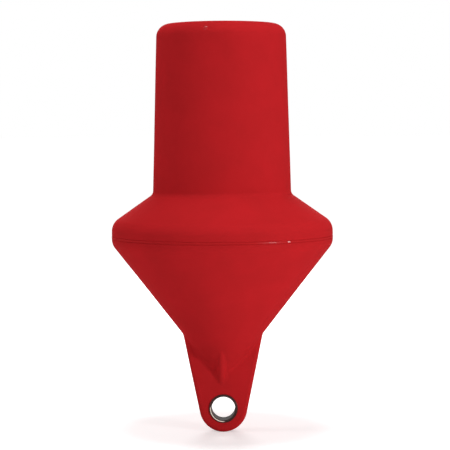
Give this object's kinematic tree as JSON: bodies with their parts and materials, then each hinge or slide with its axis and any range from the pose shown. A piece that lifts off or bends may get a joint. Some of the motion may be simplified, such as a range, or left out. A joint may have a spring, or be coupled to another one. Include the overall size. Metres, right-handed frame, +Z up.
{
  "type": "marker buoy",
  "caption": "Can-shaped marker buoy: tapered day mark on a double-cone moulded float, with a tapered lug and a metal-bushed mooring eye below.",
  "frame": {"origin": "on the buoy's axis at the girth seam, which is its waterline", "axes": "+Z up along the buoy's axis; +Y along the mooring eye's axis; +X along the mooring lug's broad side"},
  "size_m": [0.4013, 0.4014, 0.7414],
  "materials": {
    "moulding": "satin rotomoulded polyethylene",
    "seam": "trimmed seam bead",
    "bush": "turned stainless steel",
    "plug": "pressed-in plastic plug"
  },
  "bodies": {
    "root": {"upper_moulding": "moulding", "lower_moulding": "moulding", "girth_seam": "seam", "eye_bush": "bush", "filling_plug": "plug"}
  },
  "joints": []
}
